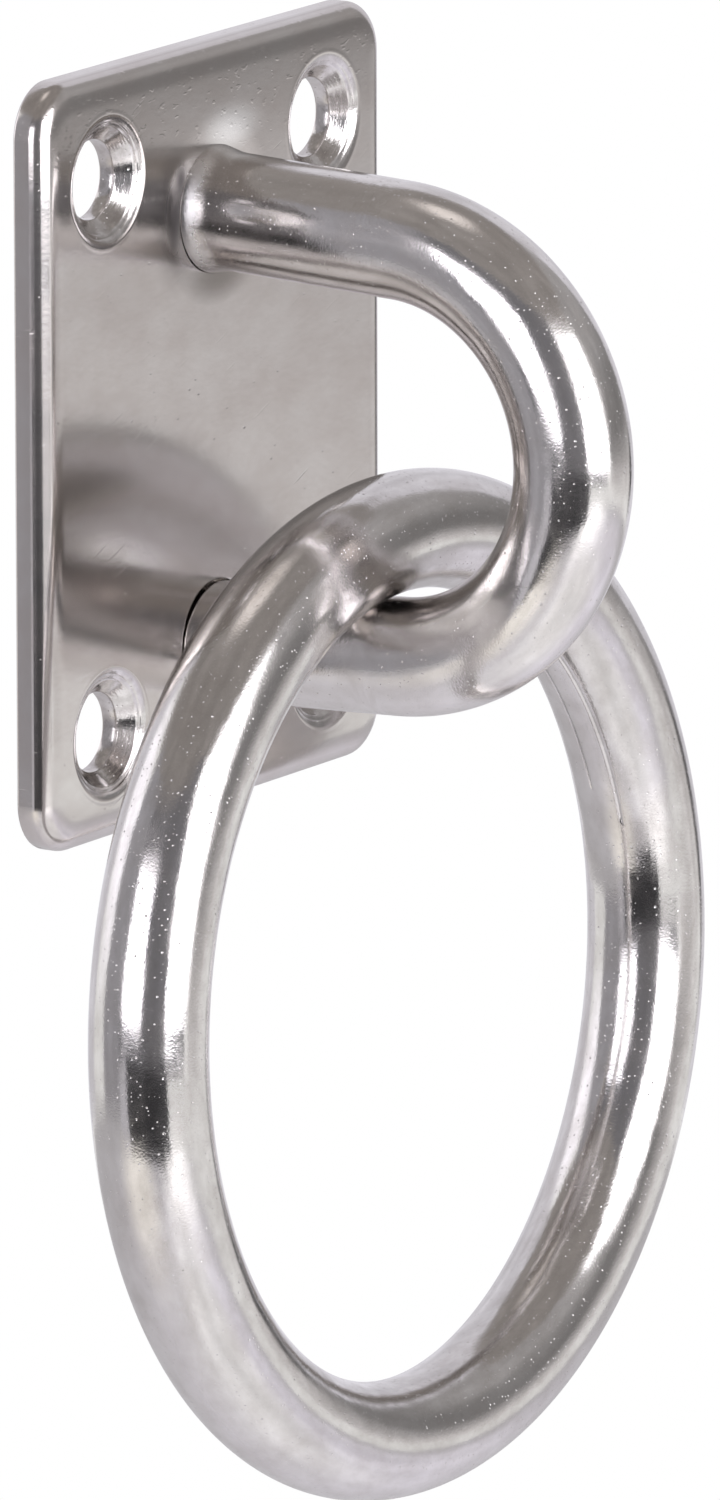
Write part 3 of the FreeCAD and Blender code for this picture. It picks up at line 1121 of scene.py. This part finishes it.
@dataclass(frozen=True)
class RoundCard:
    """A round or oval card, lying level or facing the object, in metres.

    A soft one fades outwards from its middle.
    """

    name: str
    azimuth: float
    out: float
    height: float
    radius: float
    light: float
    tint: Tint = Tint.FLOOR
    wide: float = 1.0
    level: bool = True
    soft: bool = True
    full_share: float = 0.75
    steps: int = 96

    @property
    def middle(self) -> Vector:
        """The card's middle."""
        return direction(self.azimuth) * self.out + Vector((0, 0, self.height))


@dataclass
class Studio:
    """A small light tent: floor, white surround, soft lamps and grey cards.

    Polished metal shows nothing but its surroundings, so the cards stand where
    its darker reflections come from. Only reflections see them.
    """

    floor_drop: float = 0.29
    floor_radius: float = 0.80
    floor_rough: float = 0.9
    floor_steps: int = 128
    tent_radius: float = 0.55
    fold_size: float = 0.13
    fold_depth: float = 0.14
    fold_edge: Span = (0.3, 0.7)
    surround: float = 0.66
    lamps: tuple[Softbox, ...] = (
        Softbox("front_softbox", -8.5, 0.44, -0.074, 0.40, 3.2),
        Softbox("left_softbox", -90.0, 0.335, -0.038, 0.29, 3.2),
    )
    cards: tuple[WallCard | RoundCard, ...] = (
        WallCard("camera_side_card", -112, -28, -0.10, 0.53, 0.22),
        WallCard("camera_side_foot", -98, -36, -0.289, -0.10, 0.05),
        WallCard("corner_foot", -36, -25, -0.245, -0.10, 0.05),
        WallCard("left_foot", -112, -98, -0.289, -0.10, 0.66),
        WallCard("lamp_foot", -34, 10, -0.118, -0.073, 0.07),
        WallCard("right_card", 18, 82, -0.142, 0.07, 0.27, 0.90, -0.005, Tint.ROOM),
        WallCard("right_high_card", 18, 82, 0.07, 0.62, 0.46, 0.27, 0.28, Tint.ROOM),
        WallCard("left_rear_card", -148, -112, -0.21, 0.53, 0.43),
        WallCard("rear_card", 82, 180, -0.20, 0.56, 0.84),
        RoundCard("ceiling_card", 0, 0.0, 0.56, 0.66, 0.34, Tint.CEILING, soft=False),
        RoundCard("ceiling_glow", 135, 0.08, 0.55, 0.16, 1.1, Tint.CEILING),
        RoundCard("right_gap", 80, 0.53, -0.105, 0.08, 0.05, Tint.ROOM, 1.9, level=False),
        RoundCard("rear_glow", -164, 0.545, 0.19, 0.32, 1.7, Tint.DAY, level=False),
        RoundCard("front_bounce", -10, 0.54, -0.286, 0.40, 2.1, Tint.BOARD),
        RoundCard("floor_glow", 30, 0.34, -0.283, 0.52, 1.0),
        RoundCard("near_bounce", -5, 0.22, -0.281, 0.30, 1.12, Tint.BOARD),
        RoundCard("left_bounce", -92, 0.42, -0.282, 0.30, 1.2, Tint.PAPER),
    )

    def surround_world(self) -> None:
        """Makes the world: white behind the object and in the metal."""
        world = bpy.data.worlds.new("white_surround")
        bpy.context.scene.world = world
        graph = Graph(world)
        path = graph.add("LightPath").outputs
        seen = path["Is Camera Ray"]
        for ray in ("Is Glossy Ray", "Is Transmission Ray"):
            seen = graph.add("Math", {0: seen, 1: path[ray]}, operation="MAXIMUM")
        light = graph.add("MapRange", {"Value": seen, "To Min": self.surround, "To Max": 1.0})
        glow = graph.add("Background", {"Color": linear(Tint.WHITE), "Strength": light})
        graph.add("OutputWorld", {"Surface": glow})

    def floor(self) -> None:
        """Makes the pale floor, which is below the picture."""
        bm = bmesh.new()
        bmesh.ops.create_circle(bm, cap_ends=True, segments=self.floor_steps,
                                radius=self.floor_radius,
                                matrix=Matrix.Translation((0, 0, -self.floor_drop)))
        paint = bpy.data.materials.new("matt_white_board")
        graph = Graph(paint)
        board = graph.add("BsdfPrincipled", {
            "Base Color": linear(Tint.MATT), "Roughness": self.floor_rough})
        graph.add("OutputMaterial", {"Surface": board})
        add_mesh("studio_floor", bm, paint)

    def card_light(self, card: WallCard | RoundCard) -> Material:
        """Makes a card's light, which changes slowly, as folds in the tent make it.

        Args:
            card: the card.

        Returns:
            The material.
        """
        paint = bpy.data.materials.new(card.name)
        graph = Graph(paint)
        spot = graph.add("TexCoord").outputs["Object"]
        fold = graph.add("TexNoise", {
            "Vector": spot, "Scale": 1 / self.fold_size, "Detail": 2.0})
        light = graph.add("MapRange", {
            "Value": fold, "From Min": self.fold_edge[0], "From Max": self.fold_edge[1],
            "To Min": card.light * (1 - self.fold_depth),
            "To Max": card.light * (1 + self.fold_depth)})
        if isinstance(card, WallCard) and card.foot_top > card.bottom:
            level = graph.add("SeparateXYZ", {0: spot}).outputs["Z"]
            change = graph.add("MapRange", {
                "Value": level, "From Min": card.bottom, "From Max": card.foot_top,
                "To Min": card.foot_light / card.light, "To Max": 1.0})
            light = graph.add("Math", {0: light, 1: change}, operation="MULTIPLY")
        lit = graph.add("Emission", {"Color": linear(card.tint), "Strength": light})
        if isinstance(card, RoundCard) and card.soft:
            size = 1 / card.radius
            centred = graph.add("Mapping", {
                "Vector": spot, "Location": -card.middle * size, "Scale": [size] * 3})
            ball = graph.add("TexGradient", {"Vector": centred}, gradient_type="SPHERICAL")
            share = graph.add("MapRange", {
                "Value": ball.outputs["Fac"], "From Max": card.full_share},
                interpolation_type="SMOOTHSTEP")
            lit = graph.add("MixShader", {0: share, 1: graph.add("BsdfTransparent"), 2: lit})
        graph.add("OutputMaterial", {"Surface": lit})
        return paint

    def hang(self, card: WallCard | RoundCard) -> None:
        """Makes one card, which only reflections see.

        Args:
            card: the card.
        """
        bm = bmesh.new()
        if isinstance(card, WallCard):
            foot = direction(card.left) * self.tent_radius
            ends = [bmesh.ops.create_vert(bm, co=foot + Vector((0, 0, z)))["vert"][0]
                    for z in (card.bottom, card.top)]
            edge = bmesh.ops.contextual_create(bm, geom=ends)["edges"]
            bmesh.ops.spin(bm, geom=ends + edge, cent=(0, 0, 0), axis=(0, 0, 1),
                           steps=card.steps, angle=radians(card.right - card.left))
        else:
            turn = Matrix.Rotation(radians(card.azimuth), 4, "Z")
            if not card.level:
                turn = turn @ FACE_ON
            place = Matrix.Translation(card.middle) @ turn
            oval = Matrix.Diagonal((card.wide, 1.0, 1.0, 1.0))
            bmesh.ops.create_circle(bm, cap_ends=True, segments=card.steps,
                                    radius=card.radius, matrix=place @ oval)
        hung = add_mesh(card.name, bm, self.card_light(card))
        for ray in ("camera", "diffuse", "shadow", "transmission"):
            setattr(hung, f"visible_{ray}", False)

    def build(self) -> None:
        """Makes the whole studio."""
        self.surround_world()
        self.floor()
        for box in self.lamps:
            box.build()
        for card in self.cards:
            self.hang(card)


@dataclass(frozen=True)
class Viewpoint:
    """Where the photograph was taken from, in metres and degrees."""

    azimuth: float = -57.1005
    elevation: float = 12.4746
    roll: float = -0.148
    distance: float = 1.33597
    aim_right: float = 0.011152
    aim_down: float = 0.021163
    lens_mm: float = 498.18
    sensor_mm: float = 36.0
    near: float = 0.05
    far: float = 20.0

    def build(self) -> None:
        """Makes the scene's camera."""
        back = direction(self.azimuth, self.elevation)
        right = Vector((0, 0, 1)).cross(back).normalized()
        up = back.cross(right)
        tilt = radians(self.roll)
        side = right * cos(tilt) + up * sin(tilt)
        head = up * cos(tilt) - right * sin(tilt)
        lens = bpy.data.cameras.new("photo_camera")
        lens.lens, lens.sensor_width = self.lens_mm, self.sensor_mm
        lens.clip_start, lens.clip_end = self.near, self.far
        camera = add_object("photo_camera", lens)
        spot = side * self.aim_right - head * self.aim_down + back * self.distance
        turn = Matrix((side, head, back)).transposed().to_4x4()
        camera.matrix_world = Matrix.Translation(spot) @ turn
        bpy.context.scene.camera = camera


def main() -> None:
    """Builds the camera, the studio and the pieces in order."""
    logging.basicConfig(level=logging.INFO, format="%(name)s: %(message)s")
    bpy.context.scene.view_settings.view_transform = "Standard"
    Viewpoint().build()
    Studio().build()
    rod, weld = DrawnRodSteel().build(), GroundWeldSteel().build()
    eye = DrawnRodSteel("stainless_steel_eye_rod", ("#dfdcda", "#d1cdca")).build()
    BackPlate(RolledSheetSteel().build(), TurnedSinkSteel().build()).build()
    EyeRod(eye, WornCollarAndPaintedHighlightSteel().build()).build()
    LegWeld(weld, name="upper_weld_bead", node="upper_leg_weld").build()
    LegWeld(weld, name="lower_weld_bead", node="lower_leg_weld", up=-LEG_UP).build()
    LooseRing(rod).build()


if __name__ == "__main__":
    main()
